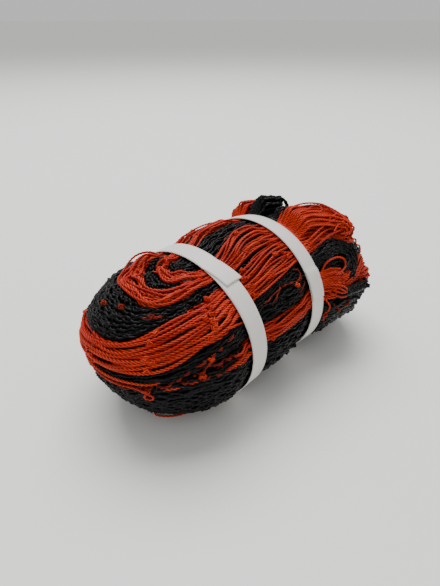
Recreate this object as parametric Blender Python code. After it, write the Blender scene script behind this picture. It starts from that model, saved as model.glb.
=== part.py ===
"""A cargo net folded into a hank and held by two flat straps, resting on a flat spot.

The hank lies along X, with its smooth turn at -X and its loose bights at +X.
Its front is at -Y and it rests on z = 0. All sizes are in metres, angles in degrees.
"""
import math

import bmesh
import bpy
from mathutils import Vector

# The straps: where they cross the middle of the hank, and their size
NEAR_X = -0.0535
FAR_X = 0.0245
MIDDLE_X = (NEAR_X + FAR_X) / 2
STRAP_WIDTH = 0.016
STRAP_THICKNESS = 0.0010
STRAP_SKEW = -0.09
GAP = 0.0003

# Envelope of the hank: two arms between a long left turn and a short right turn
LEFT_CENTRE_X = -0.0730
LEFT_REACH = 0.080
LEFT_TIP_HEIGHT = 0.066
RIGHT_CENTRE_X = 0.0900
RIGHT_REACH = 0.052
RIGHT_TIP_HEIGHT = 0.052
TURN_SQUARENESS = 2.2
# x, half width, half height, middle y, sag below the floor line before the flat spot is cut
SECTIONS = (
    (LEFT_CENTRE_X, 0.0764, 0.0607, -0.0012, 0.0090),
    (NEAR_X, 0.0753, 0.0617, 0.0003, 0.0060),
    (MIDDLE_X, 0.0735, 0.0642, 0.0033, 0.0030),
    (FAR_X, 0.0707, 0.0655, 0.0062, 0.0015),
    (0.0570, 0.0690, 0.0620, 0.0070, 0.0010),
    (RIGHT_CENTRE_X, 0.0670, 0.0590, 0.0080, 0.0010),
)

# How the straps press the net: flat under each strap, free again a little beyond it
BED_LIFT = -(STRAP_THICKNESS + GAP)
PROUD_LIFT = 0.0025
BED_SQUASH = 0.35
BED_HALF_WIDTH = 0.0125
BED_FADE = 0.014

# The core under the bundles
CORE_LIFT = -0.0045
CORE_RING_POINTS = 32
CORE_ARM_RINGS = 16
CORE_TURN_ANGLES = (6, 18, 32, 46, 60, 75)

# Stations round the winding, counted from the left tip along the front and back along the rear
FRONT_LEFT, FRONT_RIGHT, RIGHT_TIP, BACK_RIGHT, BACK_LEFT, STATION_COUNT = 1, 5, 6, 7, 11, 12
STATION_X = (
    LEFT_CENTRE_X - LEFT_REACH, LEFT_CENTRE_X, NEAR_X, MIDDLE_X, FAR_X, RIGHT_CENTRE_X,
    RIGHT_CENTRE_X + RIGHT_REACH, RIGHT_CENTRE_X, FAR_X, MIDDLE_X, NEAR_X, LEFT_CENTRE_X,
)
RING_STEPS = (7, 3, 4, 4, 6, 5, 5, 6, 4, 4, 3, 7)
RING_PHASE = 0.38

# Bundles of gathered net that run all the way round. Elevations are above the equator of the
# envelope, at the stations in their order from the left tip.
# name, half width in degrees, top lift, right reach, elevations
RING_BUNDLES = (
    ("inner_orange", 5, 0.0015, 0.048, (81, 77, 76, 84, 79, 76, 75, 76, 76, 76, 76, 78)),
    ("ring_orange", 8, 0.0025, 0.060, (64, 69, 70, 70, 68, 66, 64, 62, 60, 64, 64, 62)),
    ("wide_black", 14, 0.0015, 0.048, (41, 58, 62, 58, 54, 50, 46, 46, 46, 48, 46, 42)),
    ("main_orange", 12, 0.0025, 0.056, (13, 42, 48, 51, 47, 45, 42, 32, 26, 24, 22, 16)),
    ("middle_black", 9, 0.0005, 0.058, (-5, 18, 27, 31, 33, 31, 16, 12, 8, 6, 2, -4)),
    ("short_orange", 7, 0.0000, 0.060, (-10, 4, 12, 12, 12, 12, 12, 0, -6, -8, -8, -10)),
    ("lower_black", 14, 0.0025, 0.060, (-22, -10, -7, -10, -8, -8, -10, -16, -18, -18, -18, -22)),
    ("bottom_black", 15, 0.0015, 0.058, (-46, -36, -33, -35, -33, -34, -36, -40, -42, -42, -42, -44)),
)

# Bundles that run a part of the way: over 90 they are behind the top line
# name, half width in degrees, top lift, first station, last station, elevations from first to last
OPEN_BUNDLES = (
    ("top_black", 9, 0.0020, 0.95, 4.90, (93, 94, 97, 98, 96)),
    ("back_black", 10, 0.0070, 1.20, 4.80, (114, 115, 116, 114, 112)),
    ("back_bight_orange", 9, 0.0190, 4.05, 4.80, (127, 127, 126, 124, 122)),
    ("back_bight_black", 9, 0.0185, 4.08, 4.90, (108, 107, 105, 102, 98)),
    ("top_bight_orange", 15, 0.0155, 4.10, 5.85, (77, 78, 76, 71, 64)),
    ("right_bight_black", 9, 0.0060, 4.25, 5.45, (38, 38, 34, 26, 14)),
    ("wound_orange", 8, 0.0045, 4.20, 5.10, (20, 19, 17, 14, 8)),
)
BUNDLE_EDGE_LIFT = -0.0065
BUNDLE_ROOT_LIFT = -0.0180
BUNDLE_ROOT_SHARE = 1.0
ARC_POINTS = 6
OPEN_BUNDLE_RING_STEP = 0.11
BUNDLE_END_SIZE = 0.05
BUNDLE_END_TAPER = 0.35

SHARP_ANGLE = math.radians(50)

# Where the hank rests, and the beds of the straps under it
FLOOR_CUT_DEPTH = 0.030
FLOOR_CUT_SPAN = 0.400
BED_HEIGHT = STRAP_THICKNESS + 2 * GAP
BED_WIDTH = STRAP_WIDTH + 0.006

# Straps: where each sits, where its lap starts and ends, and how far the free end stands aside
STRAP_POINTS = 96
LAP_LIFT = STRAP_THICKNESS
LAP_EDGE = 0.4
LAP_CLEAR = 2.0
STRAPS = (
    ("strap_near", NEAR_X, 46, 59, 0.0025),
    ("strap_far", FAR_X, 14, 32, 0.0),
)


def blend(start, end, share):
    return start + (end - start) * share


def smooth_through(values, position, closed):
    """The value at a position between the entries of a list, on a smooth curve through them."""
    low = math.floor(position)
    share = position - low
    count = len(values)

    def entry(index):
        return values[index % count] if closed else values[min(count - 1, max(0, index))]

    before, start, end, after = (entry(low + step) for step in (-1, 0, 1, 2))
    slope_start, slope_end = (end - before) / 2, (after - start) / 2
    cube, square = share ** 3, share ** 2
    return ((2 * cube - 3 * square + 1) * start + (cube - 2 * square + share) * slope_start
            + (3 * square - 2 * cube) * end + (cube - square) * slope_end)


def section_at(x):
    """Half width, half height, middle y and sag of the envelope at x."""
    stations = [row[0] for row in SECTIONS]
    low = max(index for index in range(len(stations) - 1) if x >= stations[index] or index == 0)
    position = low + (x - stations[low]) / (stations[low + 1] - stations[low])
    position = min(len(stations) - 1.0, max(0.0, position))
    return [smooth_through([row[column] for row in SECTIONS], position, False)
            for column in (1, 2, 3, 4)]


def strap_press(x):
    """1 under a strap, falling to 0 beyond it."""
    distance = min(abs(x - NEAR_X), abs(x - FAR_X)) - BED_HALF_WIDTH
    share = min(1.0, max(0.0, distance / BED_FADE))
    return 1 - share * share * (3 - 2 * share)


def pressed(x, lift):
    """Flattens a lift at x to the bed of a strap."""
    bed = min(BED_LIFT, BED_LIFT + (lift - PROUD_LIFT) * BED_SQUASH)
    return blend(lift, bed, strap_press(x))


def on_section(x, elevation, lift):
    """A point of the section at x: 0 is the front, 90 the top, 180 the back."""
    half_width, half_height, middle, sag = section_at(x)
    tilt = math.radians(elevation)
    across, rise = -math.cos(tilt) * half_width, math.sin(tilt) * half_height
    if rise < 0:
        rise *= 1 + sag / half_height
    scale = 1 + lift / math.hypot(across, rise)
    across, rise = across * scale, rise * scale
    return Vector((x + STRAP_SKEW * across, middle + across, half_height + rise))


def on_turn(end, outward, across, rise, lift, reach):
    """A point of the turn at one end, -1 the left and 1 the right, in a unit direction."""
    x = LEFT_CENTRE_X if end < 0 else RIGHT_CENTRE_X
    tip_height = LEFT_TIP_HEIGHT if end < 0 else RIGHT_TIP_HEIGHT
    half_width, half_height, middle, sag = section_at(x)
    radial = math.hypot(across, rise)
    size = (abs(outward) ** TURN_SQUARENESS + radial ** TURN_SQUARENESS) ** (-1 / TURN_SQUARENESS)
    out, across, rise = outward * size, across * size * half_width, rise * size * half_height
    if rise < 0:
        rise *= 1 + sag / half_height
    arm = Vector((end * out * reach, across, rise))
    arm *= 1 + lift / arm.length
    centre_height = blend(half_height, tip_height, out * out)
    skew = STRAP_SKEW * (1 - out * out) * arm.y
    return Vector((x + skew, middle, centre_height)) + arm


def on_winding(station, elevation, lift, right_reach):
    """A point on the winding, by its station round the hank and its elevation."""
    station = station % STATION_COUNT
    tilt = math.radians(elevation)
    flat, rise = math.cos(tilt), math.sin(tilt)
    if station < FRONT_LEFT or station > BACK_LEFT:
        turn = math.pi / 2 * (station if station < FRONT_LEFT else station - STATION_COUNT)
        lift = pressed(LEFT_CENTRE_X, lift)
        return on_turn(-1, flat * math.cos(turn), -flat * math.sin(turn), rise, lift, LEFT_REACH)
    if FRONT_RIGHT < station < BACK_RIGHT:
        turn = math.pi / 2 * (station - RIGHT_TIP)
        lift = pressed(RIGHT_CENTRE_X, lift)
        return on_turn(1, flat * math.cos(turn), flat * math.sin(turn), rise, lift, right_reach)
    low = int(station)
    x = blend(STATION_X[low], STATION_X[(low + 1) % STATION_COUNT], station - low)
    if station > RIGHT_TIP:
        elevation = 180 - elevation
    return on_section(x, elevation, pressed(x, lift))


def make_material(name, colour, roughness):
    material = bpy.data.materials.new(name)
    material.use_nodes = True
    shader = material.node_tree.nodes["Principled BSDF"]
    shader.inputs["Base Color"].default_value = (*colour, 1)
    shader.inputs["Roughness"].default_value = roughness
    return material


def loft(name, rings, closed):
    """An object skinned over rings of points, closed on itself or capped at both ends."""
    form = bmesh.new()
    loops = [[form.verts.new(point) for point in ring] for ring in rings]
    pairs = list(zip(loops, loops[1:]))
    if closed:
        pairs.append((loops[-1], loops[0]))
    else:
        form.faces.new(loops[0])
        form.faces.new(list(reversed(loops[-1])))
    for first, second in pairs:
        for index, corner in enumerate(first):
            after = (index + 1) % len(first)
            form.faces.new((first[after], corner, second[index], second[after]))
    bmesh.ops.recalc_face_normals(form, faces=form.faces)
    if form.calc_volume(signed=True) < 0:
        bmesh.ops.reverse_faces(form, faces=form.faces)
    bmesh.ops.triangulate(form, faces=form.faces)
    mesh = bpy.data.meshes.new(name)
    form.to_mesh(mesh)
    form.free()
    mesh.shade_smooth()
    mesh.set_sharp_from_angle(angle=SHARP_ANGLE)
    piece = bpy.data.objects.new(name, mesh)
    bpy.context.collection.objects.link(piece)
    return piece


def make_core():
    """The middle of the hank, a little inside the bundles."""
    around = [360 * index / CORE_RING_POINTS for index in range(CORE_RING_POINTS)]
    rings = []
    for polar in CORE_TURN_ANGLES:
        rings.append([core_turn_point(-1, polar, angle) for angle in around])
    for step in range(CORE_ARM_RINGS + 1):
        x = blend(LEFT_CENTRE_X, RIGHT_CENTRE_X, step / CORE_ARM_RINGS)
        rings.append([on_section(x, angle, pressed(x, CORE_LIFT)) for angle in around])
    for polar in reversed(CORE_TURN_ANGLES):
        rings.append([core_turn_point(1, polar, angle) for angle in around])
    return loft("net_hank", rings, False)


def core_turn_point(end, polar, angle):
    polar, angle = math.radians(polar), math.radians(angle)
    across, rise = -math.sin(polar) * math.cos(angle), math.sin(polar) * math.sin(angle)
    reach = LEFT_REACH if end < 0 else RIGHT_REACH
    return on_turn(end, math.cos(polar), across, rise, CORE_LIFT, reach)


def bundle_ring(half_width, top_lift, point_at):
    """Section of a bundle: a crowned outside and a root sunk in the core."""
    ring = []
    for index in range(ARC_POINTS):
        turn = math.pi * index / (ARC_POINTS - 1)
        lift = blend(BUNDLE_EDGE_LIFT, top_lift, math.sin(turn))
        ring.append(point_at(half_width * math.cos(turn), lift))
    for side in (-1, 1):
        ring.append(point_at(side * BUNDLE_ROOT_SHARE * half_width, BUNDLE_ROOT_LIFT))
    return ring


def make_ring_bundle(index, name, half_width, top_lift, right_reach, elevations):
    phase = index * RING_PHASE % 1
    rings = []
    for start, steps in enumerate(RING_STEPS):
        for step in range(steps):
            station = start + (step + phase) / steps
            middle = smooth_through(elevations, station, True)
            rings.append(bundle_ring(
                half_width, top_lift,
                lambda offset, lift: on_winding(station, middle + offset, lift, right_reach)))
    return loft(name, rings, True)


def make_open_bundle(name, half_width, top_lift, first, last, elevations):
    count = math.ceil((last - first) / OPEN_BUNDLE_RING_STEP)
    rings = []
    for step in range(count + 1):
        share = step / count
        station = blend(first, last, share)
        middle = smooth_through(elevations, share * (len(elevations) - 1), False)
        from_end = min(share, 1 - share) * (last - first) / BUNDLE_END_TAPER
        size = min(1.0, BUNDLE_END_SIZE + from_end) ** 0.5
        crown = blend(BUNDLE_EDGE_LIFT, top_lift, size)
        rings.append(bundle_ring(
            half_width * size, crown,
            lambda offset, lift: on_winding(station, middle + offset, lift, RIGHT_REACH)))
    return loft(name, rings, False)


def combine(body, tool, operation):
    """Joins a tool to a body, or cuts it away, and keeps the tool as a hidden guide."""
    tool.hide_render = True
    tool.display_type = "WIRE"
    boolean = body.modifiers.new(tool.name, "BOOLEAN")
    boolean.operation = operation
    boolean.solver = "EXACT"
    boolean.object = tool


def make_block(name, size, location, turn=0.0):
    form = bmesh.new()
    bmesh.ops.create_cube(form, size=1.0)
    bmesh.ops.scale(form, vec=size, verts=form.verts)
    mesh = bpy.data.meshes.new(name)
    form.to_mesh(mesh)
    form.free()
    block = bpy.data.objects.new(name, mesh)
    block.location = location
    block.rotation_euler.z = turn
    bpy.context.collection.objects.link(block)
    return block


def make_hank():
    hank = make_core()
    for index, row in enumerate(RING_BUNDLES):
        combine(hank, make_ring_bundle(index, *row), "UNION")
    for row in OPEN_BUNDLES:
        combine(hank, make_open_bundle(*row), "UNION")
    span = FLOOR_CUT_SPAN
    floor = make_block("floor_cut", (span, span, FLOOR_CUT_DEPTH), (0, 0, -FLOOR_CUT_DEPTH / 2))
    combine(hank, floor, "DIFFERENCE")
    for name, x in (("near_bed", NEAR_X), ("far_bed", FAR_X)):
        centre = (x, section_at(x)[2], BED_HEIGHT - FLOOR_CUT_DEPTH / 2)
        bed = make_block(name, (BED_WIDTH, span, FLOOR_CUT_DEPTH), centre, -math.atan(STRAP_SKEW))
        combine(hank, bed, "DIFFERENCE")
    hank.data.materials.append(make_material("net_cord", (0.30, 0.05, 0.03), 0.6))
    return hank


def strap_angles(lap_start, lap_end):
    """Even angles round a strap, with a sharp step at each end of the lap."""
    steps = (lap_start - LAP_EDGE, lap_start, lap_end, lap_end + LAP_EDGE)
    even = [360 * index / STRAP_POINTS for index in range(STRAP_POINTS)]
    clear = [angle for angle in even if min(abs(angle - step) for step in steps) > LAP_CLEAR]
    return sorted([*clear, *steps])


def make_strap(name, middle_x, lap_start, lap_end, lap_shift, material):
    """A flat band round the hank, doubled where its ends lap."""
    rings = []
    for angle in strap_angles(lap_start, lap_end):
        lap_share = (angle - lap_start) / (lap_end - lap_start)
        outer = LAP_LIFT if 0 <= lap_share <= 1 else 0.0
        inside = [(side, -STRAP_THICKNESS) for side in (-1, 0, 1)]
        outside = [(side, outer) for side in (1, 0, -1)]
        ring = []
        for side, lift in inside + outside:
            point = on_section(middle_x + side * STRAP_WIDTH / 2, angle, lift)
            if lift > 0 and side > 0:
                point.x += lap_shift * lap_share
            point.z = max(point.z, STRAP_THICKNESS if lift < 0 else 0.0)
            ring.append(point)
        rings.append(ring)
    strap = loft(name, rings, True)
    strap.data.materials.append(material)


for old in list(bpy.data.objects):
    bpy.data.objects.remove(old, do_unlink=True)
make_hank()
strap_white = make_material("strap_white", (0.80, 0.80, 0.78), 0.55)
for strap_row in STRAPS:
    make_strap(*strap_row, strap_white)
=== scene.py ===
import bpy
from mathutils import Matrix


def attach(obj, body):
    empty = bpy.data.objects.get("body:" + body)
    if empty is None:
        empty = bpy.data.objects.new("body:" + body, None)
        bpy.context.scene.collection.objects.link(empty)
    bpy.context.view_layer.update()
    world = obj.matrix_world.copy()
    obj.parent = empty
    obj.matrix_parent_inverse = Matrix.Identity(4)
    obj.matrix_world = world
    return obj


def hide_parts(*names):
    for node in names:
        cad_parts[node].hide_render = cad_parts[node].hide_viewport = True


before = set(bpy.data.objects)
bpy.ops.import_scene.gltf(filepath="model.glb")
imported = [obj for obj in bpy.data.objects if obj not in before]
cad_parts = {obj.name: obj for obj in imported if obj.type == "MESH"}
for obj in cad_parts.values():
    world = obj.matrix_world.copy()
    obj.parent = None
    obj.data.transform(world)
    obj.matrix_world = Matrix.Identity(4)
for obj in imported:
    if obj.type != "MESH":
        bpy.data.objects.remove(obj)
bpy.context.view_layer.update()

import math

import bmesh
import bpy
import numpy as np
from mathutils import Vector

# ---------------------------------------------------------------------------------------------
# The photograph's view: a camera less than half a metre away, looking down on the front left of
# the hank.
# ---------------------------------------------------------------------------------------------
VIEW_AZIMUTH, VIEW_ELEVATION = math.radians(-38.2), math.radians(32.0)
VIEW_DISTANCE = 0.4316
VIEW_TARGET = Vector((-0.0068, 0.0261, 0.055))
PHOTO_HEIGHT_PX = 586
PHOTO_FOCAL_PX = 440

camera = bpy.data.objects.new("photo_camera", bpy.data.cameras.new("photo_camera"))
bpy.context.collection.objects.link(camera)
toward_camera = Vector((
    math.sin(VIEW_AZIMUTH) * math.cos(VIEW_ELEVATION),
    -math.cos(VIEW_AZIMUTH) * math.cos(VIEW_ELEVATION),
    math.sin(VIEW_ELEVATION),
))
camera.location = VIEW_TARGET + VIEW_DISTANCE * toward_camera
camera.rotation_euler = toward_camera.to_track_quat("Z", "Y").to_euler()
camera.data.lens = PHOTO_FOCAL_PX / PHOTO_HEIGHT_PX * camera.data.sensor_width
camera.data.clip_start = 0.01
bpy.context.scene.camera = camera

# ---------------------------------------------------------------------------------------------
# The folded form: the net is gathered into a rope, wound into a long loop with a smooth turn at
# the left and a loose one at the right, and pressed together by two flat straps.
# ---------------------------------------------------------------------------------------------
NEAR_X, FAR_X = -0.0535, 0.0245
STRAP_WIDTH, STRAP_THICKNESS, STRAP_SKEW = 0.016, 0.0010, -0.09
LEFT_CENTRE_X, LEFT_REACH, LEFT_TIP_HEIGHT = -0.0730, 0.080, 0.066
RIGHT_CENTRE_X, RIGHT_REACH, RIGHT_TIP_HEIGHT = 0.0900, 0.052, 0.052
TURN_SQUARENESS = 2.2
BACK_LEFT_FLAT, LOW_LEFT_FLAT = 0.0055, 0.0025
# the back left is flatter still above this elevation, by this share of the flattening
HIGH_FLAT_START, HIGH_FLAT_SPAN, HIGH_FLAT_SHARE = 50, 15, 0.5
LOW_FLAT_SPAN = 20
# x, half width, half height, middle y, sag below the floor line before it lies flat
SECTIONS = np.array((
    (LEFT_CENTRE_X, 0.0764, 0.0607, -0.0012, 0.0090),
    (NEAR_X, 0.0753, 0.0617, 0.0003, 0.0060),
    ((NEAR_X + FAR_X) / 2, 0.0735, 0.0642, 0.0033, 0.0030),
    (FAR_X, 0.0707, 0.0655, 0.0062, 0.0015),
    (0.0570, 0.0690, 0.0620, 0.0070, 0.0010),
    (RIGHT_CENTRE_X, 0.0670, 0.0590, 0.0080, 0.0010),
))
# Stations round the winding: 0 left tip, 1 to 5 along the front, 6 right tip, 7 to 11 along the back
STATION_X = np.array((
    LEFT_CENTRE_X - LEFT_REACH, LEFT_CENTRE_X, NEAR_X, (NEAR_X + FAR_X) / 2, FAR_X,
    RIGHT_CENTRE_X, RIGHT_CENTRE_X + RIGHT_REACH, RIGHT_CENTRE_X, FAR_X,
    (NEAR_X + FAR_X) / 2, NEAR_X, LEFT_CENTRE_X, LEFT_CENTRE_X - LEFT_REACH,
))
STATION_COUNT = 12
STATIONS = np.arange(STATION_COUNT + 1.0)
STATION_DISTANCE = np.array(
    (0, .125, .1445, .1835, .2225, .288, .378, .468, .5335, .5725, .6115, .631, .756))
LAP = STATION_DISTANCE[-1]
STRAP_BED_HALF_WIDTH, STRAP_BED_FADE = 0.0105, 0.014
STRAP_CLEARANCE, FLOOR_CLEARANCE = 0.0001, 0.0003
CORD_RADIUS = 0.00135
PRESSED_LIFT = -STRAP_THICKNESS - CORD_RADIUS - STRAP_CLEARANCE
# cords that lie lower than this stay lower under a strap, by this share
BED_LIFT, BED_SHARE = 0.0010, 0.6


def through(values, position):
    """Values of a table at positions between its rows, on a smooth curve through them."""
    low = np.floor(position).astype(int)
    share = position - low
    before, start, end, after = (
        values[np.clip(low + step, 0, len(values) - 1)] for step in (-1, 0, 1, 2))
    slope_start, slope_end = (end - before) / 2, (after - start) / 2
    cube, square = share ** 3, share ** 2
    return ((2 * cube - 3 * square + 1) * start + (cube - 2 * square + share) * slope_start
            + (3 * square - 2 * cube) * end + (cube - square) * slope_end)


def section_at(x):
    """Half width, half height, middle y and sag of the hank at each x."""
    stations = SECTIONS[:, 0]
    row = np.clip(np.searchsorted(stations, x) - 1, 0, len(stations) - 2)
    position = np.clip(row + (x - stations[row]) / (stations[row + 1] - stations[row]),
                       0, len(stations) - 1)
    return [through(SECTIONS[:, column], position) for column in (1, 2, 3, 4)]


def smooth_step(share):
    share = np.clip(share, 0, 1)
    return share * share * (3 - 2 * share)


def pressed(x, lift):
    """Lifts above the form at x, flattened where a strap lies over them."""
    distance = np.minimum(abs(x - NEAR_X), abs(x - FAR_X)) - STRAP_BED_HALF_WIDTH
    press = 1 - smooth_step(distance / STRAP_BED_FADE)
    bed = np.minimum(PRESSED_LIFT, PRESSED_LIFT + (lift - BED_LIFT) * BED_SHARE)
    return lift + (bed - lift) * press, press


def on_arm(x, elevation, lift):
    """Points of the straight stretch: elevation 0 is the front, 90 the top, 180 the back."""
    half_width, half_height, middle, sag = section_at(x)
    lift, press = pressed(x, lift)
    tilt = np.radians(elevation)
    across, rise = -np.cos(tilt) * half_width, np.sin(tilt) * half_height
    rise = np.where(rise < 0, rise * (1 + sag / half_height), rise)
    scale = 1 + lift / np.hypot(across, rise)
    across, rise = across * scale, rise * scale
    floor = CORD_RADIUS + press * (STRAP_THICKNESS + FLOOR_CLEARANCE)
    height = np.maximum(half_height + rise, floor)
    return np.column_stack((x + STRAP_SKEW * across, middle + across, height))


def on_turn(end, turn, elevation, lift, reach):
    """Points of a turn: end is -1 at the left and 1 at the right, and turn is 0 at its tip."""
    tilt = np.radians(elevation)
    out, across = np.cos(tilt) * np.cos(turn), np.cos(tilt) * np.sin(turn) * end
    rise = np.sin(tilt)
    x = np.full_like(out, LEFT_CENTRE_X if end < 0 else RIGHT_CENTRE_X)
    half_width, half_height, middle, sag = section_at(x)
    tip_height = LEFT_TIP_HEIGHT if end < 0 else RIGHT_TIP_HEIGHT
    power = TURN_SQUARENESS
    size = (abs(out) ** power + np.hypot(across, rise) ** power) ** (-1 / power)
    out, across, rise = out * size, across * size * half_width, rise * size * half_height
    rise = np.where(rise < 0, rise * (1 + sag / half_height), rise)
    lift, press = pressed(x, lift)
    if end < 0:
        high = smooth_step((elevation - HIGH_FLAT_START) / HIGH_FLAT_SPAN)
        flat = BACK_LEFT_FLAT * (1 + HIGH_FLAT_SHARE * high)
        lift = lift - flat * np.sin(2 * np.minimum(turn, 0)) ** 2
        lift = lift - LOW_LEFT_FLAT * smooth_step(-elevation / LOW_FLAT_SPAN) * np.cos(turn)
    arm = np.column_stack((end * out * reach, across, rise))
    arm *= (1 + lift / np.linalg.norm(arm, axis=1))[:, None]
    centre_height = half_height + (tip_height - half_height) * out * out
    arm[:, 0] += x + STRAP_SKEW * (1 - out * out) * arm[:, 1]
    arm[:, 1] += middle
    arm[:, 2] = np.maximum(arm[:, 2] + centre_height, CORD_RADIUS)
    return arm


def on_winding(distance, elevation, lift, reach=RIGHT_REACH):
    """Points on the winding, by their distance round it, their elevation and their lift."""
    station = np.interp(distance % LAP, STATION_DISTANCE, STATIONS)
    elevation, lift, reach = (
        np.broadcast_to(value, station.shape).astype(float) for value in (elevation, lift, reach))
    x = np.interp(station, STATIONS, STATION_X)
    behind = np.where(station > 6, 180 - elevation, elevation)
    points = on_arm(x, behind, lift)
    left = (station < 1) | (station > 11)
    turn = math.pi / 2 * np.where(station > 6, station - STATION_COUNT, station)
    points[left] = on_turn(-1, turn[left], elevation[left], lift[left], LEFT_REACH)
    right = (station > 5) & (station < 7)
    turn = math.pi / 2 * (station - 6)
    points[right] = on_turn(1, turn[right], elevation[right], lift[right], reach[right])
    return points


def linked(name, data):
    """A new object with this data, in the scene."""
    made = bpy.data.objects.new(name, data)
    bpy.context.collection.objects.link(made)
    return made


# ---------------------------------------------------------------------------------------------
# The heart of the hank: the inner turns of the net, packed so close that they read as one dark
# mass between the outer cords. Their near-black colour is painted shade.
# ---------------------------------------------------------------------------------------------
HEART_LIFT, HEART_RIGHT_REACH = -0.0072, 0.038
# how far from the sphere's equator the straight stretch goes, before the turns
HEART_STRAIGHT = 0.5
heart = bmesh.new()
bmesh.ops.create_uvsphere(heart, u_segments=72, v_segments=48, radius=1.0)
for vertex in heart.verts:
    # the sphere's poles lie at the tips, and its equator round the middle of the hank
    pole, side, up = vertex.co.z, vertex.co.x, vertex.co.y
    elevation = math.degrees(math.atan2(up, -side))
    if abs(pole) < HEART_STRAIGHT:
        along = (pole + HEART_STRAIGHT) / (2 * HEART_STRAIGHT)
        x = LEFT_CENTRE_X + (RIGHT_CENTRE_X - LEFT_CENTRE_X) * along
        place = on_arm(np.array([x]), np.array([elevation]), np.array([HEART_LIFT]))[0]
    else:
        end = 1 if pole > 0 else -1
        polar = (1 - abs(pole)) / HEART_STRAIGHT * math.pi / 2
        out, across = math.cos(polar), math.sin(polar)
        flat = math.hypot(out, across * math.cos(math.radians(elevation)))
        tilt = math.degrees(math.atan2(across * math.sin(math.radians(elevation)), flat))
        turn = math.atan2(-across * math.cos(math.radians(elevation)) * end, out)
        reach = LEFT_REACH if end < 0 else HEART_RIGHT_REACH
        place = on_turn(end, np.array([turn]), np.array([tilt]), np.array([HEART_LIFT]), reach)[0]
    vertex.co = Vector(place)
bmesh.ops.recalc_face_normals(heart, faces=heart.faces)
heart_mesh = bpy.data.meshes.new("inner_turns")
heart.to_mesh(heart_mesh)
heart.free()
heart_mesh.shade_smooth()
inner_turns = linked("inner_turns", heart_mesh)

heart_painted_shade = bpy.data.materials.new("heart_painted_shade")
heart_painted_shade.use_nodes = True
shader = heart_painted_shade.node_tree.nodes["Principled BSDF"]
shader.inputs["Roughness"].default_value = 0.8
place = heart_painted_shade.node_tree.nodes.new("ShaderNodeTexCoord")
noise = heart_painted_shade.node_tree.nodes.new("ShaderNodeTexNoise")
noise.inputs["Scale"].default_value = 140
# near black, faintly red: painted shade in place of the shaded orange and black inner cords
ramp = heart_painted_shade.node_tree.nodes.new("ShaderNodeValToRGB")
ramp.color_ramp.elements[0].color = (0.004, 0.003, 0.003, 1)
ramp.color_ramp.elements[1].color = (0.016, 0.003, 0.002, 1)
heart_painted_shade.node_tree.links.new(place.outputs["Object"], noise.inputs["Vector"])
heart_painted_shade.node_tree.links.new(noise.outputs["Fac"], ramp.inputs["Fac"])
heart_painted_shade.node_tree.links.new(ramp.outputs["Color"], shader.inputs["Base Color"])
heart_mesh.materials.append(heart_painted_shade)
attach(inner_turns, "root")
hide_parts("net_hank")

# ---------------------------------------------------------------------------------------------
# The net's cord: three yarns laid into a hard round twine, orange or black. Each length here is
# one curve with that three-lobed section, turned along it.
# ---------------------------------------------------------------------------------------------
LAY_LENGTH = 0.0102
YARNS, CREST_RADIUS, GROOVE_RADIUS = 3, 1.10, 0.66
CORD_SPACING, POINTS_PER_LAY, FEWEST_POINTS = 0.0016, 6, 5
THICKNESS_RANGE = (0.93, 1.07)
# cords are thinner between the straps: by what share, how far from the middle, and its fade
SLIM_BETWEEN_STRAPS, SLIM_HALF_LENGTH, SLIM_FADE = 0.30, 0.052, 0.025

section_curve = bpy.data.curves.new("twine_section", "CURVE")
section_curve.dimensions = "2D"
outline = section_curve.splines.new("POLY")
outline.points.add(2 * YARNS - 1)
for index, point in enumerate(outline.points):
    angle = -math.pi * index / YARNS
    radius = CORD_RADIUS * (GROOVE_RADIUS if index % 2 else CREST_RADIUS)
    point.co = (radius * math.cos(angle), radius * math.sin(angle), 0, 1)
outline.use_cyclic_u = True
twine_section = linked("twine_section", section_curve)


def respaced(line, spacing, closed, hidden):
    """Points along a line, spaced wider where it is hidden, and how far along each one is."""
    if closed:
        line, hidden = np.vstack((line, line[:1])), np.append(hidden, hidden[0])
    steps = np.linalg.norm(np.diff(line, axis=0), axis=1)
    along = np.concatenate(([0], np.cumsum(steps)))
    cost = np.concatenate(([0], np.cumsum(steps / spacing / (1 + hidden[1:]))))
    at = np.linspace(0, cost[-1], max(FEWEST_POINTS, round(cost[-1])), endpoint=not closed)
    points = np.column_stack([np.interp(at, cost, line[:, axis]) for axis in range(3)])
    return points, np.interp(at, cost, along), along[-1]


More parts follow.
